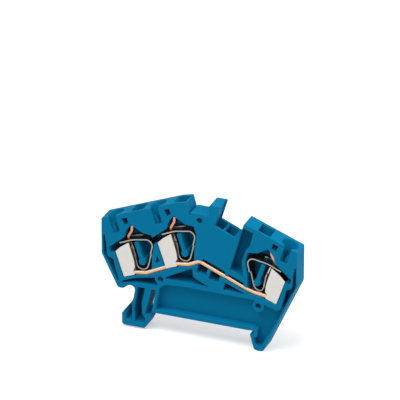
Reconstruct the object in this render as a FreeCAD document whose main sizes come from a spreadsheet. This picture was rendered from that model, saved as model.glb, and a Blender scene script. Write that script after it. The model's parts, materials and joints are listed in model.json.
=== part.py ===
# Feed-through terminal block for a 35 mm top-hat rail, with three spring clamps.
#
# Frame: X runs across the rail along the block's length, Y along the rail, Z up.
# X = 0 is the middle of the rail, Y = 0 is the middle of the block's width and Z = 0 is
# the top face of the rail's lips, on which the block is seated. Sizes are millimetres.
# The sketches are drawn on the open side of the moulding, which faces -Y.
#
# Pieces: one moulded housing, one stamped current bar and three bent strip springs.
# Every clamp is drawn about the centre of its spring's lower bend: u points from there
# to the middle of the block and w points up, so one drawing serves all three clamps.

import FreeCAD, Part
import math
import os
from types import SimpleNamespace

from FreeCAD import Placement, Rotation, Vector

SIZES = (
    # The housing as a whole.
    ("block_width", 6.2, "width of the moulding along the rail"),
    ("back_wall", 1.0, "closed wall behind the chambers"),
    ("left_overhang", 12.9, "from the outer left clamp's bend to the left end"),
    ("right_overhang", 12.4, "from the right clamp's bend to the right end"),
    ("clamp_depth", 13.6, "height of the outer top corners over the outer clamps' bends"),
    ("flank_knee", 17.3, "height where the upright ends turn inwards"),
    ("top_slope", 21.5, "degrees by which the tops with the openings fall outwards"),
    ("ridge_end", 4.3, "from the middle to the end of the high left top"),
    ("deck_drop", 2.5, "step from the high left top down to the flat deck"),
    ("post_rise", 6.6, "height of the post over the bridge deck"),
    ("post_foot", 4.95, "from the middle to the foot of the post's leaning side"),
    ("bridge_lean", 16.5, "degrees by which the bridge shafts lean outwards"),
    ("bridge_drop", 3.0, "step from the flat deck down to the bridge deck at the post's foot"),
    ("bridge_fall", 23.5, "degrees by which the bridge deck falls outwards"),
    ("bridge_reach", 12.65, "from the middle to the outer end of the bridge deck"),
    ("rib", 1.0, "thickness of the ribs and of the thin outer walls"),
    ("panel_depth", 2.6, "depth of the recessed lower panel"),
    ("panel_drop", 6.2, "from the outer clamps' bends down to the top of the lower panel"),
    ("web_drop", 3.25, "from the outer clamps' bends down to the web over the lower panel"),
    ("web_strip", 1.5, "thickness of that web"),
    ("edge_round", 0.3, "rounding of the outline's corners"),
    # The rail foot.
    ("rail_width", 35.0, "width of the rail over its lips"),
    ("lip_strip", 1.0, "thickness of the rail's lips"),
    ("rail_play", 0.15, "side play of a lip in its claw"),
    ("claw_grip", 1.2, "reach of the fixed claw under its lip"),
    ("latch_grip", 1.85, "reach of the sprung latch under its lip"),
    ("claw_depth", 6.45, "depth of the fixed claw under the seat"),
    ("latch_depth", 5.9, "depth of the sprung foot under the seat"),
    ("claw_width", 3.15, "width of the fixed claw beside its lip"),
    ("lip_relief", 0.1, "relief over the lip that the fixed claw holds"),
    ("foot_width", 7.75, "width of the sprung foot beside its lip"),
    ("neck_width", 3.25, "width of the neck above the sprung foot"),
    ("latch_slit", 2.0, "width of the slit that lets the foot spring"),
    ("slit_web", 1.35, "web between the slit's round end and the void over it"),
    # The clamps' places.
    ("clamp_reach", 19.1, "from the middle to the bend of the right clamp"),
    ("inner_reach", 5.25, "from the middle to the bend of the inner left clamp"),
    ("clamp_height", 15.5, "height of the outer clamps' bends over the rail"),
    ("clamp_pitch", 14.9, "distance along the top between the two left clamps"),
    # The springs.
    ("spring_strip", 0.45, "thickness of the spring strip"),
    ("spring_inset", 0.05, "from the edge of the current bar to the edge of a top leg"),
    ("loop_width", 2.9, "width of the strip round the lower bend"),
    ("tongue_width", 2.2, "width of the tongue in the window"),
    ("window_play", 0.15, "side play of the tongue in its window"),
    ("lower_bend", 1.95, "centre-line radius of the lower bend"),
    ("upper_bend", 1.85, "centre-line radius of the upper bend"),
    ("clamp_mouth", 13.75, "height of the upper legs' outer corner over the bend"),
    # The current bar.
    ("bar_strip", 1.15, "thickness of the current bar"),
    ("metal_front", 0.35, "from the open side to the edge of the metal parts"),
    ("metal_back", 0.05, "from the metal parts to the closed wall"),
    ("bar_play", 0.08, "play of the bar in its slot"),
    ("spring_play", 0.04, "gap between a spring and the metal it bears on"),
    ("contact_strip", 0.75, "thickness of the contact legs"),
    ("wing_strip", 0.6, "thickness of the side wings"),
    ("wing_proud", 0.05, "step from the edges of the bar out to the wings"),
    ("bar_rise", 4.6, "height of the bar's bend in the middle over the outer clamps' bends"),
    ("bar_slot_length", 2.4, "length of the bridge slots in the bar"),
    ("bar_slot_width", 2.4, "width of the bridge slots in the bar"),
    # The openings in the top.
    ("bore_radius", 1.9, "radius of the conductor bores"),
    ("bore_length", 2.5, "length of a conductor bore under its funnel"),
    ("bore_lean", 17.0, "degrees by which the conductor bores lean outwards"),
    ("guide_radius", 1.35, "radius of the narrower guide under a bore"),
    ("guide_length", 3.0, "length of that guide"),
    ("mouth_reach", 9.3, "from a clamp's bend to the middle of its conductor mouth"),
    ("mouth_length", 5.6, "length of a conductor mouth's oval"),
    ("mouth_wall", 0.3, "front wall of the conductor mouths"),
    ("funnel_depth", 4.0, "depth of the funnel under a mouth"),
    ("shaft_front", 0.7, "front wall of the screwdriver and bridge shafts"),
    ("driver_length", 4.1, "length of a screwdriver opening across the rail"),
    ("bridge_length", 3.3, "length of a bridge slot across the rail"),
    ("bridge_gap", 0.85, "wall between the two bridge slots"),
    # Small front details.
    ("dowel_hole", 0.95, "radius of the dowel holes"),
    ("dowel_hole_depth", 1.8, "depth of the dowel holes"),
    ("dowel_pin", 0.85, "radius of the dowels on the closed side"),
    ("dowel_length", 1.2, "length of the dowels"),
    ("dowel_boss", 1.85, "radius of the bosses round two dowel holes"),
    ("entry_recess", 0.9, "depth of the recess under each conductor mouth"),
    ("probe_recess", 2.6, "depth of the small window beside each clamp"),
)

doc = FreeCAD.newDocument("feed_through_terminal_block")


def fill_sheet():
    """Write every driving dimension into the sheet and give its values back."""
    sheet = doc.addObject("Spreadsheet::Sheet", "Sizes")
    for row, (alias, value, meaning) in enumerate(SIZES, start=1):
        sheet.set("A%d" % row, alias)
        sheet.set("B%d" % row, str(value))
        sheet.set("C%d" % row, meaning)
        sheet.setAlias("B%d" % row, alias)
    doc.recompute()
    return SimpleNamespace(**{alias: float(sheet.get(alias)) for alias, _, _ in SIZES})


size = fill_sheet()


def tangent(degrees):
    return math.tan(math.radians(degrees))


# Widths that follow from the sizes, as expressions for features and as values for sketches

CHAMBER_DEPTH = "(Sizes.block_width - Sizes.back_wall)"
METAL_WIDTH = "(Sizes.block_width - Sizes.back_wall - Sizes.metal_front - Sizes.metal_back)"
METAL_MIDDLE = "(Sizes.metal_front + %s / 2)" % METAL_WIDTH
metal_width = size.block_width - size.back_wall - size.metal_front - size.metal_back

# Places that follow from the sizes

clamp_step = math.radians(size.top_slope)
outer_reach = size.inner_reach + size.clamp_pitch * math.cos(clamp_step)
left_end = outer_reach + size.left_overhang
right_end = size.clamp_reach + size.right_overhang
shoulder = size.clamp_height + size.clamp_depth
ridge = shoulder + (left_end - size.inner_reach - 2.35) * tangent(size.top_slope)
deck = ridge - size.deck_drop
bridge_deck = deck - size.bridge_drop
post_top = bridge_deck + size.post_rise
panel_top = size.clamp_height - size.panel_drop
web_high = size.clamp_height - size.web_drop
web_low = web_high - size.web_strip
lip_end = size.rail_width / 2 + size.rail_play
waist = lip_end + size.neck_width
foot_end = lip_end + size.foot_width
slit_top = panel_top - size.slit_web


# Outlines

def corner(before, at, after, radius):
    """Tangent points, centre and turn of a rounded corner."""
    start = Vector(before[0] - at[0], before[1] - at[1], 0)
    end = Vector(after[0] - at[0], after[1] - at[1], 0)
    start.normalize()
    end.normalize()
    half = start.getAngle(end) / 2
    run = radius / math.tan(half)
    vertex = Vector(at[0], at[1], 0)
    bisector = start + end
    bisector.normalize()
    centre = vertex + bisector * (radius / math.sin(half))
    turn = 1 if start.cross(end).z < 0 else -1
    return vertex + start * run, centre, vertex + end * run, turn


def arc_between(centre, start, end, turn):
    """Arc from start to end about centre; a turn of 1 runs anticlockwise."""
    radius = (start - centre).Length
    first = math.atan2(start.y - centre.y, start.x - centre.x)
    last = math.atan2(end.y - centre.y, end.x - centre.x)
    if turn < 0:
        first, last = last, first
    if last < first:
        last += 2 * math.pi
    return Part.ArcOfCircle(Part.Circle(centre, Vector(0, 0, 1), radius), first, last)


def outline(points):
    """Closed outline through (x, z) or (x, z, corner radius) points."""
    count = len(points)
    joints = []
    for index, point in enumerate(points):
        if len(point) > 2 and point[2] > 0:
            joints.append(corner(points[index - 1], point, points[(index + 1) % count], point[2]))
        else:
            vertex = Vector(point[0], point[1], 0)
            joints.append((vertex, None, vertex, 0))
    edges = []
    for index, (first, centre, last, turn) in enumerate(joints):
        if centre is not None:
            edges.append(arc_between(centre, first, last, turn))
        following = joints[(index + 1) % count][0]
        if (following - last).Length > 1e-6:
            edges.append(Part.LineSegment(last, following))
    return edges


def strip(points, thickness):
    """Closed outline of a bent strip, from the points and bend radii of its centre line."""
    half = thickness / 2
    sides = {1: [], -1: []}
    for index, point in enumerate(points):
        inner = 0 < index < len(points) - 1
        if inner:
            radius = point[2] if len(point) > 2 else half * 1.2
            first, centre, last, turn = corner(points[index - 1], point, points[index + 1], radius)
            for side in sides:
                reach = (radius + side * turn * half) / radius
                sides[side].append((centre + (first - centre) * reach, centre,
                                    centre + (last - centre) * reach, turn))
        else:
            here = Vector(point[0], point[1], 0)
            other = points[1] if index == 0 else points[-2]
            along = Vector(other[0], other[1], 0) - here
            along.normalize()
            if index:
                along = along * -1
            right = Vector(along.y, -along.x, 0)
            for side in sides:
                vertex = here + right * (side * half)
                sides[side].append((vertex, None, vertex, 0))
    edges = []
    for side in sides:
        chain = sides[side]
        for index, (first, centre, last, turn) in enumerate(chain):
            if centre is not None:
                edges.append(arc_between(centre, first, last, turn))
            if index + 1 < len(chain):
                edges.append(Part.LineSegment(last, chain[index + 1][0]))
    edges.append(Part.LineSegment(sides[1][0][0], sides[-1][0][0]))
    edges.append(Part.LineSegment(sides[1][-1][2], sides[-1][-1][2]))
    return edges


def beside(points, distance):
    """Parallel to an open line, at a distance to the left of its direction."""
    moved = []
    for index, point in enumerate(points):
        normals = []
        for first, second in ((index - 1, index), (index, index + 1)):
            if first >= 0 and second < len(points):
                run = Vector(points[second][0] - points[first][0],
                             points[second][1] - points[first][1], 0)
                run.normalize()
                normals.append(Vector(-run.y, run.x, 0))
        middle = normals[0] + normals[-1]
        middle.normalize()
        reach = distance / middle.dot(normals[0])
        moved.append((point[0] + middle.x * reach, point[1] + middle.y * reach) + tuple(point[2:]))
    return moved


def circle(x, z, radius):
    return [Part.Circle(Vector(x, z, 0), Vector(0, 0, 1), radius)]


# Sketches and features

def new_body(label):
    """Body whose own XZ plane lies in the open side of the moulding."""
    body = doc.addObject("PartDesign::Body", label)
    body.Label = label
    body.setExpression("Placement.Base.y", "-Sizes.block_width / 2")
    return body


def origin_plane(body, role):
    return next(item for item in body.Origin.OriginFeatures if item.Role == role)


def front_sketch(body, name, edges, inset=None):
    """Sketch in a plane parallel to the open side; inset is the expression of its depth."""
    sketch = body.newObject("Sketcher::SketchObject", name)
    sketch.AttachmentSupport = [(origin_plane(body, "XZ_Plane"), "")]
    sketch.MapMode = "FlatFace"
    if inset is not None:
        sketch.setExpression("AttachmentOffset.Base.z", "-(%s)" % inset)
    sketch.addGeometry(edges, False)
    return sketch


def pad(body, name, edges, length, inset=None, centred=False):
    """Solid from the sketch's plane towards the closed side, or centred on that plane."""
    feature = body.newObject("PartDesign::Pad", name)
    feature.Refine = False
    feature.Profile = front_sketch(body, name + "_outline", edges, inset)
    feature.setExpression("Length", length)
    if centred:
        feature.Midplane = True
    else:
        feature.Reversed = True
    return feature


def pocket(body, name, edges, depth, inset=None, centred=False):
    """Cut from the sketch's plane towards the closed side, or centred on that plane."""
    feature = body.newObject("PartDesign::Pocket", name)
    feature.Refine = False
    feature.Profile = front_sketch(body, name + "_outline", edges, inset)
    feature.setExpression("Length", depth)
    if centred:
        feature.Midplane = True
    return feature


# The clamps' drawing, in u and w about the spring's lower bend

def clamp_places():
    """Name, X, Z and side of the three clamps; a side of -1 mirrors the drawing."""
    return (
        ("left_outer", -outer_reach, size.clamp_height, 1),
        ("left_inner", -size.inner_reach,
         size.clamp_height + size.clamp_pitch * math.sin(clamp_step), 1),
        ("right", size.clamp_reach, size.clamp_height, -1),
    )


def placed(points, place):
    """Clamp drawing points moved to one clamp's place."""
    _, x, z, side = place
    return [(x + side * point[0], z + point[1]) + tuple(point[2:]) for point in points]


def at_clamps(draw):
    """One drawing at all three clamps, for a single sketch."""
    return [edge for place in clamp_places() for edge in draw(place)]


FRONT_LEAN = 9.8
BACK_LEAN = 13.3
TOP_RISE = 10.1


def spring_line():
    """Centre line of a spring from the end of its top leg to the tip of its tongue."""
    bend = size.lower_bend
    left = (-bend * tangent(45 - FRONT_LEAN / 2) - 0.02, -bend)
    right = (bend * tangent(45 - BACK_LEAN / 2) + 0.02, -bend)
    peak = size.clamp_mouth - 4.56
    shoulder = (right[0] + (peak - right[1]) * tangent(BACK_LEAN), peak)
    knee = (-3.0, peak - (shoulder[0] + 3.0) * tangent(TOP_RISE))
    end = (-7.15, knee[1] - 4.15 * tangent(24))
    hip = (left[0] - (2.95 + bend) * tangent(FRONT_LEAN), 2.95)
    neck = (hip[0] - 2.95 * tangent(22.1), hip[1] + 2.95)
    tip_height = knee[1] + 0.2
    tip = (neck[0] - (tip_height - neck[1]) * tangent(8.8), tip_height)
    return (end, knee + (9.0,), shoulder + (size.upper_bend,), right + (bend,), left + (bend,),
            hip + (1.2,), neck + (1.5,), tip)


def between(first, second, share):
    return (first[0] + (second[0] - first[0]) * share, first[1] + (second[1] - first[1]) * share)


def bar_line():
    """Centre line of the current bar, from its left end to its right end."""
    drop = size.lower_bend + (size.spring_strip + size.bar_strip) / 2 + size.spring_play
    tilt = 6.8
    level = drop / math.cos(math.radians(tilt))
    run = [(-2.3, -level - 2.3 * tangent(tilt)), (1.45, -level + 1.45 * tangent(tilt), 2.0)]
    outer, inner, right = clamp_places()
    left_part = placed(run, outer) + placed([run[0] + (2.0,), run[1]], inner)
    right_part = placed(run, right)
    knee = (right_part[1][0] - 3.05, right_part[1][1] + 1.0, 4.0)
    peak = (-size.inner_reach + 5.15, size.clamp_height + size.bar_rise, 1.2)
    return left_part + [peak, knee] + right_part[::-1]


def bar_height(x):
    """Height of the bar's centre line over a place right of its middle bend."""
    line = bar_line()
    peak, knee = line[4], line[5]
    return peak[1] + (knee[1] - peak[1]) * (x - peak[0]) / (knee[0] - peak[0])


def chamber():
    """Outline of a clamp's chamber in the open side."""
    line = spring_line()
    end, knee, shoulder, right, left = line[0], line[1], line[2], line[3], line[4]
    over = knee[1]
    return (
        (-5.95, -5.45), (-8.8, 3.05), (-9.9, 2.2, 0.3), (-10.65, 4.1, 0.3), (-5.4, over + 0.6),
        (-4.95, over + 2.75), (-3.2, over + 5.3, 0.4), (0.6, over + 3.1), (3.4, over + 2.95, 0.3),
        (shoulder[0] + 0.15, over - 0.3, 1.5), (right[0] + 2.05, 3.2, 2.0), (right[0] + 2.0, -2.2),
        (-1.6, -3.6), (-2.0, -4.1))


def guide_rib():
    """Ladle-shaped rib inside the spring's loop: a round foot and a slanted bar."""
    foot = (0.45, 1.15)
    head = (-1.55, spring_line()[1][1] - 0.5)
    return foot, head


def wing():
    """Outline of the tinned side wings of a clamp."""
    line = spring_line()
    over = line[1][1]
    return ((-8.5, 3.0, 0.3), (-6.8, 4.8, 0.6), (-4.15, over - 1.15, 0.2), (-3.6, 4.9),
            (-2.85, 2.5), (-2.35, 0.6), (-2.1, -1.35, 0.15), (-2.6, -2.45), (-2.2, -3.4),
            (-2.2, -3.85, 0.2), (-5.7, -5.2, 0.2))


# The housing

def housing_outline():
    """Outer outline of the moulding, clockwise from the left top corner."""
    round_off = size.edge_round
    lean = tangent(size.bridge_lean)
    reach_z = bridge_deck - (size.bridge_reach - size.post_foot) * tangent(size.bridge_fall)
    step_z = bridge_step()
    under = -size.lip_strip - 0.05
    relief = lip_end - size.claw_grip - 0.1
    slit_shift = slit_top * tangent(10.7)
    slit_start = -lip_end + size.latch_slit
    slit_end = size.latch_slit * 0.72
    heel = slit_top - 1.4
    return (
        (-left_end, shoulder, round_off),
        (-size.inner_reach - 2.35, ridge, 2.0),
        (-size.ridge_end, ridge + 0.8, round_off),
        (-size.ridge_end + 0.95, deck - 0.05),
        (-size.ridge_end + 0.95, deck - 0.65),
        (-size.ridge_end + 1.3, deck - 0.65),
        (-size.ridge_end + 1.3, deck),
        (size.post_foot - 2.15, deck),
        (size.post_foot - 1.8, post_top - 0.1, round_off),
        (size.post_foot + size.post_rise * lean, post_top, round_off),
        (size.post_foot, bridge_deck),
        (size.bridge_reach, reach_z),
        (size.bridge_reach + (step_z - reach_z) * lean, step_z, round_off),
        (right_end, shoulder, round_off),
        (right_end, size.flank_knee, 1.5),
        (lip_end + size.claw_width, -size.claw_depth, 1.5),
        (lip_end - size.claw_grip + 1.45, -size.claw_depth, 1.5),
        (lip_end - size.claw_grip, under, 0.2),
        (lip_end, under),
        (lip_end, size.lip_relief),
        (relief, size.lip_relief),
        (relief, 0.0),
        (slit_start, 0.0, 0.2),
        (slit_start + slit_shift, slit_top, 0.6),
        (slit_start - slit_end + slit_shift, slit_top, 0.6),
        (-lip_end, 0.0),
        (-lip_end, under),
        (-lip_end + size.latch_grip, under, 0.2),
        (-lip_end + size.latch_grip - 0.15, under - 1.05, 0.3),
        (-lip_end - 0.25, -size.latch_depth, 0.6),
        (-foot_end, -size.latch_depth, 0.9),
        (-foot_end, -1.9, 1.0),
        (-waist - 0.8, 3.2, 3.0),
        (-waist, slit_top + 0.05, 1.3),
        (-waist - 2.2, slit_top + 0.05, 1.6),
        (-waist - 4.1, heel, 1.2),
        (-waist - 5.8, heel, 1.0),
        (-left_end, size.flank_knee, 1.5),
    )


def bridge_step():
    """Height of the edge where the bridge deck's outer wall meets the right top."""
    return shoulder + (right_end - size.bridge_reach - 1.5) * tangent(20.8)


def flank_at(side, height):
    """X of a leaning flank at a height under its knee."""
    if side < 0:
        end, foot, low = left_end, waist + 5.8, slit_top - 1.4
    else:
        end, foot, low = right_end, lip_end + size.claw_width, -size.claw_depth
    return side * (foot + (end - foot) * (height - low) / (size.flank_knee - low))


def leaning_shaft(foot_x, foot_z, top_z, length, lean):
    """Outline of a shaft with parallel leaning sides, given the left side of its foot."""
    shift = (top_z - foot_z) * tangent(lean)
    return ((foot_x, foot_z), (foot_x + length, foot_z), (foot_x + length + shift, top_z),
            (foot_x + shift, top_z))


def cut_chambers(body):
    """Chambers, ribs, conductor bores and screwdriver shafts of the three clamps."""
    pocket(body, "bar_slot", strip(bar_line(), size.bar_strip + 2 * size.bar_play), CHAMBER_DEPTH)
    slope = tangent(size.top_slope)
    mouth_w = size.clamp_depth + (size.left_overhang - size.mouth_reach) * slope
    driver_u = -1.85
    driver_w = size.clamp_depth + (size.left_overhang + driver_u) * slope + 0.9
    over = spring_line()[1][1]
    half = size.driver_length / 2
    shaft = ((driver_u - half, driver_w - half * slope), (driver_u + half, driver_w + half * slope),
             (3.4, over + 2.55), (-0.3, over + 2.55))
    entry = ((-8.0, mouth_w + 1.2), (-8.14, mouth_w - 0.4), (-6.8, mouth_w - 4.95, 0.4),
             (-8.9, mouth_w - 6.05, 0.4), (-10.3, mouth_w - 2.0), (-10.6, mouth_w + 0.4))
    probe = ((-6.45, mouth_w - 0.35), (-4.55, mouth_w + 0.3), (-4.1, mouth_w - 1.5), (-5.35, mouth_w - 2.4))
    for place in clamp_places():
        pocket(body, "chamber_" + place[0], outline(placed(chamber(), place)), CHAMBER_DEPTH)
    pad(body, "guide_bars", at_clamps(lambda place: strip(placed(guide_rib(), place), 1.2)), CHAMBER_DEPTH)
    pad(body, "guide_feet", at_clamps(lambda place: circle(*placed(guide_rib(), place)[0], 1.1)),
        CHAMBER_DEPTH)
    pocket(body, "driver_shafts", at_clamps(lambda place: outline(placed(shaft, place))),
           CHAMBER_DEPTH + " - Sizes.shaft_front", "Sizes.shaft_front")
    pocket(body, "entry_recesses", at_clamps(lambda place: outline(placed(entry, place))),
           "Sizes.entry_recess")
    pocket(body, "probe_windows", at_clamps(lambda place: outline(placed(probe, place))),
           "Sizes.probe_recess")
    for name, x, z, side in clamp_places():
        mouth = Vector(x - side * size.mouth_reach, size.metal_front + metal_width / 2, z + mouth_w)
        cut_bore(body, name, mouth, -side * size.bore_lean)


def tilted_sketch(body, name, origin, turn, edges):
    """Sketch across a leaning axis in the block's middle plane."""
    sketch = body.newObject("Sketcher::SketchObject", name)
    sketch.AttachmentSupport = [(origin_plane(body, "XY_Plane"), "")]
    sketch.MapMode = "FlatFace"
    sketch.AttachmentOffset = Placement(origin, Rotation(Vector(0, 1, 0), turn))
    sketch.addGeometry(edges, False)
    return sketch


def cut_bore(body, name, mouth, turn):
    """Oval funnel, round bore and narrower guide for one conductor."""
    axis = Rotation(Vector(0, 1, 0), turn).multVec(Vector(0, 0, 1))
    rim = mouth + axis * 0.3
    throat = mouth - axis * size.funnel_depth
    long_half = size.mouth_length / 2
    wide_half = mouth.y - size.mouth_wall
    oval = [Part.Ellipse(Vector(long_half, 0, 0), Vector(0, wide_half, 0), Vector(0, 0, 0))]
    funnel = body.newObject("PartDesign::SubtractiveLoft", "funnel_" + name)
    funnel.Refine = False
    funnel.Profile = tilted_sketch(body, "mouth_" + name, rim, turn, oval)
    funnel.Sections = [tilted_sketch(body, "throat_" + name, throat, turn,
                                     circle(0, 0, size.bore_radius))]
    floor = throat - axis * size.bore_length
    for kind, start, radius, length in (("bore", throat, size.bore_radius, "Sizes.bore_length"),
                                        ("guide", floor, size.guide_radius, "Sizes.guide_length")):
        cut = body.newObject("PartDesign::Pocket", "%s_%s" % (kind, name))
        cut.Refine = False
        cut.Profile = tilted_sketch(body, "%s_outline_%s" % (kind, name), start, turn,
                                    circle(0, 0, radius))
        cut.setExpression("Length", length)


def bridge_feet():
    """Left corner of the foot of the two bridge shafts, which reach through the bar."""
    feet = []
    for number in (0, 1):
        top_x = size.post_foot - 0.35 + number * (size.bridge_length + size.bridge_gap)
        foot_z = bar_height(1.5 + 1.5 * number) - 1.2
        feet.append((top_x - (bridge_deck + 0.8 - foot_z) * tangent(size.bridge_lean), foot_z))
    return feet


def cut_bridge_side(body):
    """Bridge shafts through the bar, the pockets below it and the jumper pocket."""
    depth = CHAMBER_DEPTH + " - 0.3"
    lean = size.bridge_lean
    shafts = []
    wells = []
    for foot_x, foot_z in bridge_feet():
        shafts += outline(leaning_shaft(foot_x, foot_z, bridge_deck + 0.8, size.bridge_length, lean))
        below = bar_height(foot_x + size.bridge_length / 2) - 0.3
        wells += outline((
            (foot_x - 0.1, below + 0.7), (foot_x + size.bridge_length - 0.35, below - 0.5),
            (foot_x + size.bridge_length - 1.15, below - 3.3, 0.3), (foot_x - 1.0, below - 2.5, 0.3)))
    shaft_depth = CHAMBER_DEPTH + " - Sizes.shaft_front"
    pocket(body, "bridge_shafts", shafts, shaft_depth, "Sizes.shaft_front")
    pocket(body, "bridge_wells", wells, depth)
    notches = []
    knee_x = bar_line()[5][0]
    for first, last, rise in ((size.post_foot - 4.15, size.post_foot + 3.25, 1.9),
                              (size.post_foot + 4.15, knee_x - 0.4, 1.7)):
        notches += outline((
            (first, bar_height(first)), (first + 0.2, bar_height(first) + rise),
            (last + 0.2, bar_height(last) + rise), (last, bar_height(last))))
    pocket(body, "bar_notches", notches, depth)
    clamp_x, clamp_z = size.clamp_reach, size.clamp_height
    jumper = (
        (size.bridge_reach + 1.35, bridge_step() - 1.5), (size.bridge_reach + 4.75, bridge_step() - 2.6),
        (clamp_x - 2.85, clamp_z + 13.0), (clamp_x - 4.0, clamp_z + 11.5),
        (clamp_x - 5.35, clamp_z + 7.5, 1.0), (clamp_x - 5.2, clamp_z + 4.8),
        (clamp_x - 4.9, clamp_z + 2.1), (clamp_x - 9.25, clamp_z + 4.0, 0.3))
    pocket(body, "jumper_pocket", outline(jumper), CHAMBER_DEPTH + " - 0.8")
    rebate = leaning_shaft(size.post_foot - 0.45, bridge_deck, post_top + 0.5, 1.2, lean)
    pocket(body, "post_rebate", outline(rebate), shaft_depth, "Sizes.shaft_front + 0.2")


def flank_groove(side, nearer):
    """Outline of the stepped groove along one end, from its distances to the end's face."""
    knee = size.flank_knee
    drawing = (
        (0.55, knee + 6.4), (0.6, knee, 2.0), (0.88, knee - 2.9), (0.91, panel_top - 0.5),
        (1.66, panel_top - 0.4), (1.8, panel_top + 0.7), (2.53, knee - 3.8), (3.1, knee - 1.4),
        (1.77, knee - 0.7), (1.76, knee), (1.5, knee + 3.7), (1.0, knee + 6.4))
    return [(flank_at(side, min(point[1], knee)) - side * (point[0] - nearer),) + point[1:]
            for point in drawing]


def cut_lower_side(body):
    """Voids, recesses and grooves that leave thin ribs and a web round the rail foot."""
    base = size.clamp_height
    web_end = lip_end - 0.25
    right_x = size.clamp_reach
    under_outer = (
        (-waist - 4.7, panel_top - 1.15, 0.3), (-waist - 2.4, panel_top - 0.4), (-waist, panel_top - 0.05),
        (-outer_reach + 5.2, panel_top + 0.05), (-outer_reach + 5.9, base - 3.0),
        (-outer_reach + 4.6, base - 3.3), (-outer_reach - 1.4, base - 4.6), (-waist - 4.3, panel_top - 0.1))
    under_inner = (
        (-size.inner_reach - 5.95, web_high), (3.3, web_high - 0.05), (-1.0, web_high + 1.85),
        (-1.9, web_high + 2.45, 0.3), (-2.4, base + 2.0), (-size.inner_reach - 5.5, web_high + 0.85))
    under_right = (
        (right_x - 11.35, web_high - 0.05), (right_x - 3.8, web_high - 0.3), (right_x - 10.8, base - 0.6))
    pocket(body, "under_bar_voids", outline(under_outer) + outline(under_inner) + outline(under_right),
           CHAMBER_DEPTH)
    flank_foot = panel_top - 0.3
    panel_left = -lip_end + size.latch_slit + 1.25
    panel_low = size.rib + 0.15
    panel = (
        (panel_left, panel_low), (panel_left + 1.35, panel_top - 0.6), (panel_left + 3.1, web_low - 0.45),
        (panel_left + 9.4, web_low), (web_end, web_low - 0.1), (right_x + 1.9, panel_top + 0.3),
        (right_x + 4.4, panel_top - 0.4), (right_x + 6.0, panel_top - 0.95),
        (flank_at(1, flank_foot) - 1.5, flank_foot), (flank_at(1, flank_foot) - 0.65, flank_foot),
        (flank_at(1, 5.8) - 0.6, 5.8), (flank_at(1, 2.9) - 0.7, 2.9), (flank_at(1, 0.3) - 1.0, 0.3),
        (flank_at(1, -2.0) - 1.2, -2.0), (lip_end + 2.75, -size.claw_depth + 2.15, 0.6),
        (lip_end + 1.65, -size.claw_depth + 1.4, 0.8), (lip_end + 0.55, -size.claw_depth + 2.15, 0.6),
        (lip_end, -2.3, 0.3), (lip_end + 1.25, -1.7, 0.4), (lip_end + 1.25, 0.5),
        (lip_end - 0.1, panel_low, 0.6))
    pocket(body, "lower_panel", outline(panel), "Sizes.panel_depth")
    grooves = outline(flank_groove(-1, 0.0)) + outline(flank_groove(1, 0.25))
    pocket(body, "flank_grooves", grooves, CHAMBER_DEPTH + " - 0.6")
    floor = -size.latch_depth + 1.7
    foot = (
        (-waist + 0.75, slit_top - 0.05, 0.2), (-waist + 3.15, slit_top - 0.05, 0.3),
        (-lip_end - 1.2, 2.5, 2.0), (-lip_end - 1.1, -1.2, 0.6), (-lip_end - 0.1, -2.5, 0.5),
        (-lip_end - 0.3, floor, 0.3), (-foot_end + 4.25, floor, 0.2), (-waist - 0.45, 0.2, 2.0))
    heel = (
        (-foot_end + 3.35, 3.3), (-foot_end + 3.4, floor + 0.15, 0.2), (-foot_end + 1.45, floor + 0.15, 0.3),
        (-foot_end + 1.25, -2.1), (-foot_end + 0.1, -0.6))
    triangle = placed(((5.35, 4.5), (4.65, 1.7), (6.2, 2.1)), clamp_places()[0])
    pocket(body, "foot_and_web_pockets", outline(foot) + outline(heel) + outline(triangle),
           CHAMBER_DEPTH)


def add_dowels(body):
    """Bosses and holes on the open side and the dowels that fit them on the closed side."""
    bosses = ((-outer_reach + 6.4, size.clamp_height - 3.6), (lip_end + 1.5, panel_top - 0.5))
    places = bosses + ((0.0, deck - 2.1),)
    pad(body, "dowel_bosses", [circle(x, z, size.dowel_boss)[0] for x, z in bosses], CHAMBER_DEPTH)
    pocket(body, "dowel_holes", [circle(x, z, size.dowel_hole)[0] for x, z in places],
           "Sizes.dowel_hole_depth")
    pad(body, "dowels", [circle(x, z, size.dowel_pin)[0] for x, z in places],
        "Sizes.dowel_length", "Sizes.block_width")


def make_housing():
    body = new_body("housing")
    pad(body, "moulding", outline(housing_outline()), "Sizes.block_width")
    cut_chambers(body)
    cut_bridge_side(body)
    cut_lower_side(body)
    add_dowels(body)
    return body


# The current bar

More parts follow.
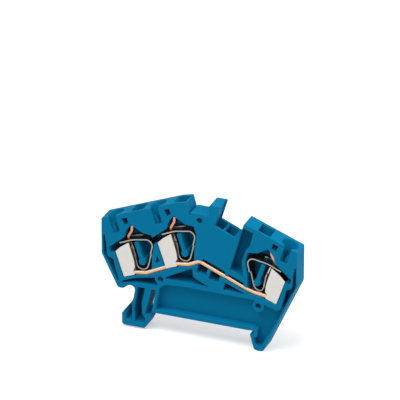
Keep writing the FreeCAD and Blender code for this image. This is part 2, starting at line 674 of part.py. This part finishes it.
def make_current_bar():
    """Bent copper strip with a contact leg and two tinned wings at each clamp."""
    body = new_body("current_bar")
    pad(body, "bar", strip(bar_line(), size.bar_strip), METAL_WIDTH + " - 2 * Sizes.wing_proud",
        "Sizes.metal_front + Sizes.wing_proud")
    leg_line = spring_line()[4:]
    reach = (size.spring_strip + size.contact_strip) / 2 + size.spring_play
    side_line = beside(leg_line, reach)
    top = side_line[-1]
    foot_share = -0.16
    foot = between(side_line[0], side_line[1], foot_share)
    leg = [foot, side_line[1][:2] + (1.8,), side_line[2][:2] + (2.0,), (top[0], top[1] + 0.3, 0.8),
           (top[0] + 1.05, top[1] + 2.35, 1.0), (top[0] + 1.15, top[1] + 3.95)]
    low = [leg[0], leg[1], between(leg[1], leg[2], 0.75)]
    slots = []
    for foot_x, foot_z in bridge_feet():
        slots += outline(leaning_shaft(foot_x + (size.bridge_length - size.bar_slot_length) / 2, foot_z,
                                       foot_z + 3.0, size.bar_slot_length, size.bridge_lean))
    pocket(body, "bridge_slots", slots, "Sizes.bar_slot_width", METAL_MIDDLE, centred=True)
    wings = at_clamps(lambda place: outline(placed(wing(), place)))
    pad(body, "front_wings", wings, "Sizes.wing_strip", "Sizes.metal_front")
    pad(body, "rear_wings", wings, "Sizes.wing_strip",
        "Sizes.metal_front + %s - Sizes.wing_strip" % METAL_WIDTH)
    pad(body, "contact_legs", at_clamps(lambda place: strip(placed(low, place), size.contact_strip)),
        METAL_WIDTH + " - 2 * Sizes.wing_strip + 0.1", "Sizes.metal_front + Sizes.wing_strip - 0.05")
    pad(body, "contact_tails", at_clamps(lambda place: strip(placed(leg, place), size.contact_strip)),
        "Sizes.tongue_width", METAL_MIDDLE + " - Sizes.tongue_width / 2")
    return body


# The springs

def make_spring(place):
    """Bent spring strip whose narrow tongue passes through the window of its top leg."""
    name, x, z, side = place
    body = new_body("spring_" + name)
    end, knee, shoulder, right, left, hip, neck, tip = spring_line()
    notch = between(right, shoulder, 0.54)
    narrowing = between(hip, neck, 0.32)
    pad(body, "top_leg", strip((end, knee, shoulder, notch), size.spring_strip),
        METAL_WIDTH + " - 2 * Sizes.spring_inset", centred=True)
    pad(body, "loop", strip((notch, right, left, hip, narrowing), size.spring_strip),
        "Sizes.loop_width", centred=True)
    pad(body, "tongue", strip((narrowing, neck, tip), size.spring_strip),
        "Sizes.tongue_width", centred=True)
    clear = size.contact_strip + size.spring_strip + size.spring_play
    first = tip[0] - clear - 0.25
    window = ((first, knee[1] - 3.0), (-0.6, knee[1] - 1.2), (-0.6, knee[1] + 1.2), (first, knee[1] + 1.2))
    pocket(body, "window", outline(window), "Sizes.tongue_width + 2 * Sizes.window_play", centred=True)
    turn = 0 if side > 0 else 180
    body.Placement = Placement(Vector(x, 0, z), Rotation(Vector(0, 0, 1), turn))
    body.setExpression("Placement.Base.y", METAL_MIDDLE + " - Sizes.block_width / 2")
    return body


def check_document(bodies):
    """Merge split faces in the last feature of each body and stop on any failure."""
    for body in bodies:
        body.Tip.Refine = True
    doc.recompute()
    for item in doc.Objects:
        if "Invalid" in item.State or "Error" in item.State:
            raise RuntimeError("failed object: %s %s" % (item.Label, item.State))


def write_parts(bodies):
    os.makedirs("parts", exist_ok=True)
    for body in bodies:
        shape = body.Shape
        if shape.isNull() or not shape.isValid() or len(shape.Solids) != 1:
            raise RuntimeError("bad shape: %s (%d solids)" % (body.Label, len(shape.Solids)))
        shape.exportStep("parts/%s.step" % body.Label)
        box = shape.BoundBox
        print("%-18s volume %8.1f mm3  x %.2f %.2f  y %.2f %.2f  z %.2f %.2f" % (
            body.Label, shape.Volume, box.XMin, box.XMax, box.YMin, box.YMax, box.ZMin, box.ZMax))


bodies = [make_housing(), make_current_bar()] + [make_spring(place) for place in clamp_places()]
check_document(bodies)
write_parts(bodies)
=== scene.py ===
# %% [markdown]
# # A spring clamp terminal block
#
# This lesson dresses a small electrical part: a slim blue moulding with a sprung foot,
# open on one side, where the bent copper bar and the three steel cage springs that hold
# the wires can be seen. The exact shapes come from a CAD model, so the lesson is about
# light, camera and finishes, and about the few forms that have to bend.

# %% Load the CAD model
import json
import math

import bmesh
import bpy
from mathutils import Matrix, Vector

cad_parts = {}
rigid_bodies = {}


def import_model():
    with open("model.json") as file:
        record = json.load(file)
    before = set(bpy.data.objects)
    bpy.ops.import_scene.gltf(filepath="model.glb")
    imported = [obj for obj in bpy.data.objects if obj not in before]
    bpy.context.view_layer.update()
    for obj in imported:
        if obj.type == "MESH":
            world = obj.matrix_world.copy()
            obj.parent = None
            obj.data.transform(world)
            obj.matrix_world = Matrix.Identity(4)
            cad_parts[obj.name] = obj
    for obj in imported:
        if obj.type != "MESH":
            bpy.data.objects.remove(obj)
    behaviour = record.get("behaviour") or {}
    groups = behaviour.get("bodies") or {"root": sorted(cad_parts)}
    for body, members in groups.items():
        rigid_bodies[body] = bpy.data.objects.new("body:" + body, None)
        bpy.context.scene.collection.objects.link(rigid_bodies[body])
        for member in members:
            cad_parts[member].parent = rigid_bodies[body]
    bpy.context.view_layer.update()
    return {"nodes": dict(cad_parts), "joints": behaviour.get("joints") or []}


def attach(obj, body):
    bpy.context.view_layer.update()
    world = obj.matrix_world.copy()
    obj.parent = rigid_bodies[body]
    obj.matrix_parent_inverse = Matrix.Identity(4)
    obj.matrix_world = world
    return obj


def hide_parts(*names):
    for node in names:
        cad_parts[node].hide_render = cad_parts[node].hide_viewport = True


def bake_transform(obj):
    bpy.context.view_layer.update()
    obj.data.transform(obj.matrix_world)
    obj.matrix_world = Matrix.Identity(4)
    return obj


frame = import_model()
MM = 0.001
print("pieces from CAD:", sorted(frame["nodes"]))

# %% [markdown]
# ## The camera
#
# Product photographs of small parts are taken from far away with a long lens, so parallel
# edges stay almost parallel. The camera stands 1.47 m away, 22 degrees round from square
# on, towards the end with one clamp, and 26 degrees up. It is aimed above the block, so
# the block lies in the lower half of the picture.

# %% Place the camera
AZIMUTH = math.radians(21.531)
ELEVATION = math.radians(26.215)
ROLL = math.radians(0.114)
DISTANCE = 1465.87 * MM
AIM_RIGHT = 0.25 * MM
AIM_UP = 36.86 * MM
OPEN_SIDE = -3.1 * MM
SENSOR_WIDTH = 36
LENS = 433.65
NEAREST = 50 * MM

back = Vector((math.sin(AZIMUTH) * math.cos(ELEVATION),
               -math.cos(AZIMUTH) * math.cos(ELEVATION), math.sin(ELEVATION)))
level_right = Vector((math.cos(AZIMUTH), math.sin(AZIMUTH), 0))
level_up = back.cross(level_right)
right = level_right * math.cos(ROLL) + level_up * math.sin(ROLL)
up = level_up * math.cos(ROLL) - level_right * math.sin(ROLL)

camera_data = bpy.data.cameras.new("photo_camera")
camera_data.sensor_width = SENSOR_WIDTH
camera_data.lens = LENS
camera_data.clip_start = NEAREST
camera = bpy.data.objects.new("photo_camera", camera_data)
bpy.context.scene.collection.objects.link(camera)
place = back * DISTANCE + right * AIM_RIGHT + up * AIM_UP + Vector((0, OPEN_SIDE, 0))
turn = Matrix((right, up, back)).transposed().to_4x4()
camera.matrix_world = Matrix.Translation(place) @ turn
bpy.context.scene.camera = camera
print("camera at", [round(v, 3) for v in place])

# %% [markdown]
# ## Small helpers for shader nodes
#
# Every finish below is a little network of nodes. These helpers keep the code readable:
# they add a node and set its sockets, join two sockets, do a sum and mix two colours.

# %% Helpers that add nodes
def add(tree, kind, **values):
    """Add a node; keyword names are socket names with _ for a space."""
    made = tree.nodes.new(kind)
    for name, value in values.items():
        key = name.replace("_", " ")
        if hasattr(made, name) and key not in made.inputs:
            setattr(made, name, value)
        else:
            made.inputs[key].default_value = value
    return made


def join(tree, source, target):
    """Link an output socket to an input socket."""
    tree.links.new(source, target)


def math_node(tree, operation, first, second=None):
    """A Math node fed by sockets or plain numbers; gives its output socket."""
    made = tree.nodes.new("ShaderNodeMath")
    made.operation = operation
    for index, value in enumerate((first, second)):
        if isinstance(value, (int, float)):
            made.inputs[index].default_value = value
        elif value is not None:
            join(tree, value, made.inputs[index])
    return made.outputs[0]


def mix_colour(tree, share, first, second):
    """Mix two colours; each is a socket or four numbers, and share is a socket."""
    made = tree.nodes.new("ShaderNodeMix")
    made.data_type = "RGBA"
    join(tree, share, made.inputs[0])
    for index, value in ((6, first), (7, second)):
        if isinstance(value, tuple):
            made.inputs[index].default_value = value
        else:
            join(tree, value, made.inputs[index])
    return made.outputs[2]


print("helpers:", add.__name__, join.__name__, math_node.__name__, mix_colour.__name__)

# %% [markdown]
# An effect that several finishes share becomes a node group with named inputs. It is
# made once and then placed in each material with that material's own values.

# %% Helpers for node groups
def new_group(name, inputs, outputs):
    """Start a node group; inputs and outputs map names to socket kinds and defaults."""
    group = bpy.data.node_groups.new(name, "ShaderNodeTree")
    for label, (kind, default) in inputs.items():
        socket = group.interface.new_socket(label, in_out="INPUT", socket_type=kind)
        socket.default_value = default
    for label, kind in outputs.items():
        group.interface.new_socket(label, in_out="OUTPUT", socket_type=kind)
    return group, group.nodes.new("NodeGroupInput"), group.nodes.new("NodeGroupOutput")


def place_group(tree, group, **values):
    """Place a node group in a material and set its inputs."""
    made = tree.nodes.new("ShaderNodeGroup")
    made.node_tree = group
    for name, value in values.items():
        made.inputs[name.replace("_", " ")].default_value = value
    return made


print("group helpers:", new_group.__name__, place_group.__name__)

# %% [markdown]
# ## Edges that catch the light
#
# A moulded or stamped edge is never perfectly sharp: it has a radius of a tenth of a
# millimetre and shows as a thin light line. The Bevel node rounds the normals near an
# edge, and the difference from the true normal gives a mask for the edge itself.

# %% The edge group
edge_group, edge_in, edge_out = new_group(
    "soft edge",
    {"Radius": ("NodeSocketFloat", 0.0001), "Strength": ("NodeSocketFloat", 1.0)},
    {"Mask": "NodeSocketFloat", "Normal": "NodeSocketVector"})
bevel = add(edge_group, "ShaderNodeBevel", samples=6)
join(edge_group, edge_in.outputs["Radius"], bevel.inputs["Radius"])
geometry = add(edge_group, "ShaderNodeNewGeometry")
dot = add(edge_group, "ShaderNodeVectorMath", operation="DOT_PRODUCT")
join(edge_group, bevel.outputs["Normal"], dot.inputs[0])
join(edge_group, geometry.outputs["True Normal"], dot.inputs[1])
turned = math_node(edge_group, "SUBTRACT", 1.0, dot.outputs["Value"])
scaled = math_node(edge_group, "MULTIPLY", turned, edge_in.outputs["Strength"])
not_below = math_node(edge_group, "MAXIMUM", scaled, 0.0)
clamped = math_node(edge_group, "MINIMUM", not_below, 1.0)
join(edge_group, clamped, edge_out.inputs["Mask"])
join(edge_group, bevel.outputs["Normal"], edge_out.inputs["Normal"])
print("group:", edge_group.name)

# %% [markdown]
# ## Fine surface grain
#
# The steel of a mould is spark-eroded, and the plastic copies its fine, even grain. Rolled
# and plated strip has a grain too, drawn out along the strip. One group serves both: a
# noise whose stretch can be set, given as a mask and as a bumped normal.

# %% The grain group
grain_group, grain_in, grain_out = new_group(
    "fine grain",
    {"Scale": ("NodeSocketFloat", 3000.0), "Stretch": ("NodeSocketVector", (1.0, 1.0, 1.0)),
     "Height": ("NodeSocketFloat", 0.00001), "Normal": ("NodeSocketVector", (0.0, 0.0, 0.0))},
    {"Mask": "NodeSocketFloat", "Normal": "NodeSocketVector"})
place_in = add(grain_group, "ShaderNodeTexCoord")
stretch = add(grain_group, "ShaderNodeVectorMath", operation="MULTIPLY")
join(grain_group, place_in.outputs["Object"], stretch.inputs[0])
join(grain_group, grain_in.outputs["Stretch"], stretch.inputs[1])
noise = add(grain_group, "ShaderNodeTexNoise", Detail=3.0, Roughness=0.6)
join(grain_group, stretch.outputs["Vector"], noise.inputs["Vector"])
join(grain_group, grain_in.outputs["Scale"], noise.inputs["Scale"])
bump = add(grain_group, "ShaderNodeBump", Strength=0.6)
join(grain_group, grain_in.outputs["Height"], bump.inputs["Distance"])
join(grain_group, noise.outputs["Fac"], bump.inputs["Height"])
join(grain_group, grain_in.outputs["Normal"], bump.inputs["Normal"])
join(grain_group, noise.outputs["Fac"], grain_out.inputs["Mask"])
join(grain_group, bump.outputs["Normal"], grain_out.inputs["Normal"])
print("group:", grain_group.name)

# %% [markdown]
# ## Starting a finish
#
# Each finish has one Principled shader. What is the same all over the surface, such as
# how metallic it is, is set on the shader itself. What varies comes from a mask, which
# a Map Range node stretches to the values that it should run between.

# %% Helpers for materials
def start_material(name, **values):
    """A material with one Principled shader; gives the material, its tree and shader."""
    material = bpy.data.materials.new(name)
    material.use_nodes = True
    tree = material.node_tree
    tree.nodes.clear()
    shader = add(tree, "ShaderNodeBsdfPrincipled", **values)
    output = add(tree, "ShaderNodeOutputMaterial")
    join(tree, shader.outputs[0], output.inputs["Surface"])
    return material, tree, shader


def level(tree, source, low, high, start=0.0, end=1.0):
    """Map a mask from start and end to low and high."""
    made = tree.nodes.new("ShaderNodeMapRange")
    join(tree, source, made.inputs["Value"])
    made.inputs["From Min"].default_value = start
    made.inputs["From Max"].default_value = end
    made.inputs["To Min"].default_value = low
    made.inputs["To Max"].default_value = high
    return made.outputs[0]


print("material helpers:", start_material.__name__, level.__name__)

# %% [markdown]
# ## The blue plastic
#
# Terminal housings are moulded in polyamide. Its surface is satin: the colour carries,
# and there is hardly a highlight. Thin edges are painted a lighter blue, a painted
# highlight along each edge. A slow noise keeps the broad faces
# from being one flat colour, and a fine one gives the grain.

# %% Blue polyamide
DEEP_BLUE = (0.002, 0.164, 0.324, 1)
FAIR_BLUE = (0.003, 0.180, 0.348, 1)
EDGE_HIGHLIGHT_BLUE = (0.006, 0.26, 0.45, 1)

plastic, tree, shader = start_material("blue_polyamide", Specular_IOR_Level=0.015)
edges = place_group(tree, edge_group, Radius=0.12 * MM, Strength=2.2)
grain = place_group(tree, grain_group, Scale=5200.0, Height=0.012 * MM)
clouds = place_group(tree, grain_group, Scale=160.0)
join(tree, edges.outputs["Normal"], grain.inputs["Normal"])
body = mix_colour(tree, clouds.outputs["Mask"], DEEP_BLUE, FAIR_BLUE)
# painted highlight: the edge mask paints the edges a lighter blue
coloured = mix_colour(tree, edges.outputs["Mask"], body, EDGE_HIGHLIGHT_BLUE)
join(tree, coloured, shader.inputs["Base Color"])
join(tree, level(tree, grain.outputs["Mask"], 0.42, 0.58), shader.inputs["Roughness"])
join(tree, grain.outputs["Normal"], shader.inputs["Normal"])
print("finish:", plastic.name)

# %% [markdown]
# ## Finding the parts of a stamped piece
#
# The bar is one piece of metal with several finishes, and so is each spring. Where a
# point lies tells them apart: how far it is from the middle of the strip's width, and
# which way its face looks. Both come from the object itself, so they hold in any view.

# %% Helpers that tell where a point is
METAL_MIDDLE = -0.35 * MM
CUT_FACE = 0.7


def parts_of(tree, vector):
    """The X, Y and Z of a vector socket."""
    made = add(tree, "ShaderNodeSeparateXYZ")
    join(tree, vector, made.inputs[0])
    return made.outputs


def place_of(tree):
    """X, Y and Z of the point in the object's own frame."""
    return parts_of(tree, add(tree, "ShaderNodeTexCoord").outputs["Object"])


def facing_of(tree):
    """X, Y and Z of the face's normal."""
    return parts_of(tree, add(tree, "ShaderNodeNewGeometry").outputs["True Normal"])


def away_from(tree, value, middle):
    """How far a value is from the middle, on either side."""
    return math_node(tree, "ABSOLUTE", math_node(tree, "SUBTRACT", value, middle))


def is_cut(tree, facing):
    """1 on the faces that look across the strip, where it was cut."""
    return math_node(tree, "GREATER_THAN", math_node(tree, "ABSOLUTE", facing["Y"]), CUT_FACE)


print("middle of the metal:", METAL_MIDDLE)

# %% [markdown]
# ## Tinned copper
#
# The current bar is stamped from copper strip that was tinned before stamping. So its
# broad faces and its wings are silver white, and every cut edge shows warm copper. The
# wings stand a hair proud of the bar's edges, so their distance from the middle tells
# them from the edges. The contact legs are narrower, and their tails narrower still.

# %% Masks for the bar
BAR_HALF = 2.36 * MM
LEG_HALF = 2.0 * MM
TAIL_HALF = 1.3 * MM
SLOTS_X = 6.75 * MM
SLOTS_REACH = 10 * MM

bar_metal, tree, shader = start_material("tinned_copper", Metallic=1.0)
place_xyz = place_of(tree)
facing = facing_of(tree)
off_middle = away_from(tree, place_xyz["Y"], METAL_MIDDLE)
off_slots = away_from(tree, place_xyz["X"], SLOTS_X)
sideways = is_cut(tree, facing)
on_wing = math_node(tree, "GREATER_THAN", off_middle, BAR_HALF)
wing_face = math_node(tree, "MULTIPLY", on_wing, sideways)
strip_face = math_node(tree, "SUBTRACT", 1.0, math_node(tree, "MAXIMUM", sideways, on_wing))
tinned = math_node(tree, "MAXIMUM", wing_face, strip_face)
on_leg = math_node(tree, "LESS_THAN", off_middle, LEG_HALF)
on_tail = math_node(tree, "MULTIPLY", math_node(tree, "LESS_THAN", off_middle, TAIL_HALF),
                    math_node(tree, "GREATER_THAN", off_slots, SLOTS_REACH))
print("masks: tinned faces, contact legs and their tails")

# %% [markdown]
# ## The bar's cut edge
#
# The upper half of each cut edge is painted light, a painted highlight where the edge
# turns up, and its lower part is painted dark, a painted shade. A wide Bevel node leans its
# normal up near the upper edge and down near the lower one, so the Z of that normal gives the
# split.

# %% Colours of the cut edge
COPPER = (0.50, 0.20, 0.07, 1), (0.72, 0.38, 0.17, 1)
RED_COPPER = (0.46, 0.14, 0.07, 1), (0.74, 0.42, 0.30, 1)
PAINTED_EDGE_HIGHLIGHT = (0.84, 0.72, 0.59, 1)
PAINTED_EDGE_SHADE = (0.16, 0.08, 0.04, 1)
PAINTED_DARK_SHADE = (0.10, 0.085, 0.07, 1)

patches = place_group(tree, grain_group, Scale=420.0)
wide_bevel = place_group(tree, edge_group, Radius=0.55 * MM)
lean = parts_of(tree, wide_bevel.outputs["Normal"])
# painted highlight on the upper half of each cut edge, painted shade on its lower part
highlit_share = level(tree, lean["Z"], 0.0, 1.0, start=-0.03, end=0.11)
shaded_share = level(tree, lean["Z"], 1.0, 0.0, start=-0.34, end=-0.18)
copper = mix_colour(tree, patches.outputs["Mask"], *COPPER)
red = mix_colour(tree, patches.outputs["Mask"], *RED_COPPER)
edge = mix_colour(tree, highlit_share, copper, PAINTED_EDGE_HIGHLIGHT)
edge = mix_colour(tree, shaded_share, edge, PAINTED_EDGE_SHADE)
# painted shade: the cut edges of the contact legs are painted near black
edge = mix_colour(tree, on_tail, mix_colour(tree, on_leg, edge, PAINTED_DARK_SHADE), red)
print("the edge runs from painted highlight over copper to", PAINTED_EDGE_SHADE[:3])

# %% [markdown]
# ## The bar's broad faces
#
# Tin is silver white and a little patchy. Faces that look sideways or down are painted
# near black, a painted shade, except on the tails, where they are bare red copper. The grain of
# the rolled strip runs along it.

# %% Tin, and the whole finish
TIN = (0.53, 0.505, 0.475, 1), (0.60, 0.585, 0.56, 1)

edges = place_group(tree, edge_group, Radius=0.08 * MM, Strength=2.0)
rolled = place_group(tree, grain_group, Scale=2600.0, Stretch=(0.35, 1.0, 1.0), Height=0.006 * MM)
join(tree, edges.outputs["Normal"], rolled.inputs["Normal"])
tin = mix_colour(tree, patches.outputs["Mask"], *TIN)
# painted shade: faces that look sideways or down are painted near black
steep = level(tree, facing["Z"], 1.0, 0.0, start=0.3, end=0.8)
shaded_steep = math_node(tree, "MULTIPLY", steep, strip_face)
tin = mix_colour(tree, shaded_steep, tin, mix_colour(tree, on_tail, PAINTED_DARK_SHADE, red))
join(tree, mix_colour(tree, tinned, edge, tin), shader.inputs["Base Color"])
join(tree, level(tree, rolled.outputs["Mask"], 0.24, 0.42), shader.inputs["Roughness"])
join(tree, rolled.outputs["Normal"], shader.inputs["Normal"])
print("finish:", bar_metal.name)

# %% [markdown]
# ## Spring steel
#
# The cage springs are bent from hard steel strip with a dull nickel finish. Their broad
# faces are painted dark brown, a painted shade, and the cut edges are brighter. The edge
# mask draws a thin dark rim round each cut edge, a painted shadow of the bend. The cut
# edges of each narrow tongue are painted light, a painted highlight.

# %% Spring steel
SHADED_BROAD_STEEL = (0.07, 0.055, 0.045, 1), (0.13, 0.11, 0.095, 1)
CUT_STEEL = (0.30, 0.265, 0.235, 1), (0.45, 0.41, 0.37, 1)
PAINTED_LIGHT_STEEL = (0.66, 0.58, 0.49, 1)
PAINTED_RIM_SHADE = (0.05, 0.04, 0.03, 1)
TONGUE_HALF = 1.2 * MM

steel, tree, shader = start_material("spring_steel", Metallic=1.0)
edges = place_group(tree, edge_group, Radius=0.17 * MM, Strength=8.0)
drawn = place_group(tree, grain_group, Scale=3400.0, Stretch=(1.0, 0.3, 1.0), Height=0.005 * MM)
stains = place_group(tree, grain_group, Scale=700.0)
join(tree, edges.outputs["Normal"], drawn.inputs["Normal"])
off_middle = away_from(tree, place_of(tree)["Y"], METAL_MIDDLE)
on_tongue = math_node(tree, "LESS_THAN", off_middle, TONGUE_HALF)
# painted shade: the broad faces are painted dark brown
broad = mix_colour(tree, stains.outputs["Mask"], *SHADED_BROAD_STEEL)
bright = mix_colour(tree, stains.outputs["Mask"], *CUT_STEEL)
# painted highlight: the cut edges of the narrow tongue are painted light
bright = mix_colour(tree, on_tongue, bright, PAINTED_LIGHT_STEEL)
strip_colour = mix_colour(tree, is_cut(tree, facing_of(tree)), broad, bright)
# painted shade: a dark rim is painted round each cut edge
strip_colour = mix_colour(tree, edges.outputs["Mask"], strip_colour, PAINTED_RIM_SHADE)
join(tree, strip_colour, shader.inputs["Base Color"])
join(tree, level(tree, drawn.outputs["Mask"], 0.3, 0.5), shader.inputs["Roughness"])
join(tree, drawn.outputs["Normal"], shader.inputs["Normal"])
print("finish:", steel.name)

# %% [markdown]
# ## Dress the rigid pieces
#
# The moulding and the bar keep their exact CAD meshes and only change material.

# %% Give the rigid pieces their finishes
def paint(piece, material):
    """Give the whole piece one material."""
    piece.data.materials.clear()
    piece.data.materials.append(material)


paint(frame["nodes"]["housing"], plastic)
paint(frame["nodes"]["current_bar"], bar_metal)
print("painted: housing, current_bar")

# %% [markdown]
# ## Springs that bend
#
# When a blade pushes a cage spring open, its back leg and windowed top leg bend away,
# while the tongue and the foot of the loop stay put. So each spring is cut at the bottom
# of its loop: the tongue rides with the block, and the leg stays where it stands. The
# first helper finds the pieces that the cut leaves.

# %% Find the loose pieces of a mesh
def islands(mesh):
    """Groups of connected faces of a bmesh."""
    left = set(mesh.faces)
    found = []
    while left:
        stack = [left.pop()]
        group = set(stack)
        while stack:
            for edge in stack.pop().edges:
                for face in edge.link_faces:
                    if face in left:
                        left.discard(face)
                        group.add(face)
                        stack.append(face)
        found.append(group)
    return found


print("helper:", islands.__name__)

# %% [markdown]
# ## How the tongues stand
#
# Looked at closely, the real tongues reach a little higher than in the CAD model, and
# the one at the single clamp leans in, away from its contact leg. So the tongues' points
# are moved. The lean grows smoothly from nothing at the bottom of the loop, where the
# tongue still has to meet the other half of its spring.

# %% Set the tongues
LOOP_RADIUS = 1.95 * MM
TIP_ABOVE = 4.7 * MM
TIP_LONGER = 0.7 * MM
TONGUE_SLANT = math.radians(24)
TONGUE_LEAN = {"spring_left_outer": 0.0, "spring_left_inner": 0.0, "spring_right": 0.6 * MM}


def set_tongue(mesh, lean_in, pivot, side):
    """Lean a tongue in towards its loop and make its tip longer."""
    for vertex in mesh.verts:
        along = min(1.0, -side * (vertex.co.x - pivot.x) / LOOP_RADIUS)
        vertex.co.x += side * lean_in * along * along * (3 - 2 * along)
        if vertex.co.z > pivot.z + TIP_ABOVE:
            vertex.co.x -= side * TIP_LONGER * math.tan(TONGUE_SLANT)
            vertex.co.z += TIP_LONGER


print("tongues lean in by", TONGUE_LEAN)

# %% [markdown]
# ## Half a spring
#
# A plane through the middle of the loop splits the mesh, and only the edges at its bottom
# are torn apart, so the top leg, which the plane crosses too, stays whole. The island
# that lies furthest to the tongue's side is the tongue, and all the rest is the leg.

# %% Make the tongue or the leg of a spring
SAME_PLACE = 1e-7
CUT_REACH = 1e-8


def half_spring(name, node, pivot, side, keep_tongue):
    """A copy of one spring's mesh that keeps only its tongue or only its leg."""
    mesh = bmesh.new()
    mesh.from_mesh(frame["nodes"][node].data)
    bmesh.ops.remove_doubles(mesh, verts=mesh.verts, dist=SAME_PLACE)
    bmesh.ops.bisect_plane(mesh, geom=mesh.verts[:] + mesh.edges[:] + mesh.faces[:],
                           plane_co=(pivot.x, 0, 0), plane_no=(1, 0, 0), dist=CUT_REACH)
    crossing = [edge for edge in mesh.edges
                if all(abs(vertex.co.x - pivot.x) < SAME_PLACE for vertex in edge.verts)
                and all(vertex.co.z < pivot.z for vertex in edge.verts)]
    bmesh.ops.split_edges(mesh, edges=crossing)
    by_side = {}
    for group in islands(mesh):
        centre = sum((face.calc_center_median() for face in group), Vector()) / len(group)
        by_side[side * (centre.x - pivot.x)] = group
    tongue = by_side[min(by_side)]
    drop = [face for face in mesh.faces if (face in tongue) != keep_tongue]
    bmesh.ops.delete(mesh, geom=drop, context="FACES")
    if keep_tongue:
        set_tongue(mesh, TONGUE_LEAN[node], pivot, side)
    data = bpy.data.meshes.new(name)
    mesh.to_mesh(data)
    mesh.free()
    piece = bpy.data.objects.new(name, data)
    bpy.context.scene.collection.objects.link(piece)
    paint(piece, steel)
    return piece


print("helper:", half_spring.__name__)

# %% [markdown]
# ## Cutting the three springs
#
# Each spring is split into a tongue, which rides with the block, and a leg, which stays
# where it stands. The CAD spring itself is hidden.

for joint in frame["joints"]:
    clamp = joint["child"]
    node = clamp.replace("clamp", "spring")
    pivot = Vector(joint["pos_m"])
    side = 1 if joint["axis"][1] < 0 else -1
    tongue = half_spring(node + "_tongue", node, pivot, side, True)
    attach(tongue, joint["parent"])
    leg = half_spring(node + "_leg", node, pivot, side, False)
    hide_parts(node)
    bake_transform(leg)
    print(node, "tongue", len(tongue.data.vertices), "leg", len(leg.data.vertices))

# %% [markdown]
# ## The floor
#
# The part stands on a plain white floor. Light Path tells camera, glossy and transmission
# rays from the rest, and to those rays the floor glows a little, more so far out where
# the lamps fade. So the background is white and the metal has something pale to reflect,
# while the floor keeps the part's shadow and throws no extra light on it.

# %% Floor
FLOOR_Z = -6.46 * MM
FLOOR_REACH = 1.5
FLOOR_GREY = 0.65
GLOW_NEAR, GLOW_FAR = 0.47, 1.0
NEAR, FAR = 0.2, 0.9


def seen_directly(tree):
    """1 for camera, glossy and transmission rays, 0 for the rays that light things."""
    path = add(tree, "ShaderNodeLightPath")
    straight = math_node(tree, "MAXIMUM", path.outputs["Is Camera Ray"],
                         path.outputs["Is Glossy Ray"])
    return math_node(tree, "MAXIMUM", straight, path.outputs["Is Transmission Ray"])


corners = [(x * FLOOR_REACH, y * FLOOR_REACH, FLOOR_Z)
           for x, y in ((-1, -1), (1, -1), (1, 1), (-1, 1))]
floor_data = bpy.data.meshes.new("floor")
floor_data.from_pydata(corners, [], [(0, 1, 2, 3)])
floor = bpy.data.objects.new("floor", floor_data)
bpy.context.scene.collection.objects.link(floor)
floor_white = bpy.data.materials.new("floor_white")
floor_white.use_nodes = True
tree = floor_white.node_tree
tree.nodes.clear()
matt = add(tree, "ShaderNodeBsdfDiffuse", Color=(FLOOR_GREY, FLOOR_GREY, FLOOR_GREY, 1))
glow = add(tree, "ShaderNodeEmission", Color=(1, 1, 1, 1))
total = add(tree, "ShaderNodeAddShader")
output = add(tree, "ShaderNodeOutputMaterial")
away = add(tree, "ShaderNodeVectorMath", operation="LENGTH")
join(tree, add(tree, "ShaderNodeTexCoord").outputs["Object"], away.inputs[0])
strength = level(tree, away.outputs["Value"], GLOW_NEAR, GLOW_FAR, start=NEAR, end=FAR)
shown = math_node(tree, "MULTIPLY", strength, seen_directly(tree))
join(tree, shown, glow.inputs["Strength"])
join(tree, matt.outputs[0], total.inputs[0])
join(tree, glow.outputs[0], total.inputs[1])
join(tree, total.outputs[0], output.inputs["Surface"])
paint(floor, floor_white)
print("floor at", FLOOR_Z)

# %% [markdown]
# ## The sky
#
# The same rays see a white sky, while the sky that lights the part is dim. Colours then
# look as they are written, and pale metal keeps its shades.

# %% Sky
SKY_LIGHT = 0.34

scene = bpy.context.scene
scene.view_settings.view_transform = "Standard"
world = bpy.data.worlds.new("studio")
scene.world = world
world.use_nodes = True
tree = world.node_tree
tree.nodes.clear()
dim = add(tree, "ShaderNodeBackground", Color=(1, 1, 1, 1), Strength=SKY_LIGHT)
white = add(tree, "ShaderNodeBackground", Color=(1, 1, 1, 1), Strength=1.0)
sky = add(tree, "ShaderNodeMixShader")
output = add(tree, "ShaderNodeOutputWorld")
join(tree, seen_directly(tree), sky.inputs[0])
join(tree, dim.outputs[0], sky.inputs[1])
join(tree, white.outputs[0], sky.inputs[2])
join(tree, sky.outputs[0], output.inputs["Surface"])
print("world:", world.name)

# %% [markdown]
# ## The lamps
#
# The main soft lamp hangs above the part to the left, and a weak one fills in from the
# front right. One from the right brings the end of the block up to the brightness of its
# front.

# %% Lamps
LAMPS = (  # name, azimuth and elevation in degrees, distance and size in metres, watts
    ("key", -25, 68, 0.5, 0.35, 2.2),
    ("front_fill", 25, 35, 0.6, 0.3, 0.35),
    ("side_fill", 85, 30, 0.6, 0.3, 1.6))
LAMP_AIM = Vector((0, 0, 15 * MM))


def lamp(name, azimuth, elevation, distance, size, power):
    """A square soft lamp that looks at the part."""
    data = bpy.data.lights.new(name, "AREA")
    data.size = size
    data.energy = power
    made = bpy.data.objects.new(name, data)
    scene.collection.objects.link(made)
    a, e = math.radians(azimuth), math.radians(elevation)
    towards = Vector((math.sin(a) * math.cos(e), -math.cos(a) * math.cos(e), math.sin(e)))
    made.location = towards * distance + LAMP_AIM
    made.rotation_euler = towards.to_track_quat("Z", "Y").to_euler()


for values in LAMPS:
    lamp(*values)
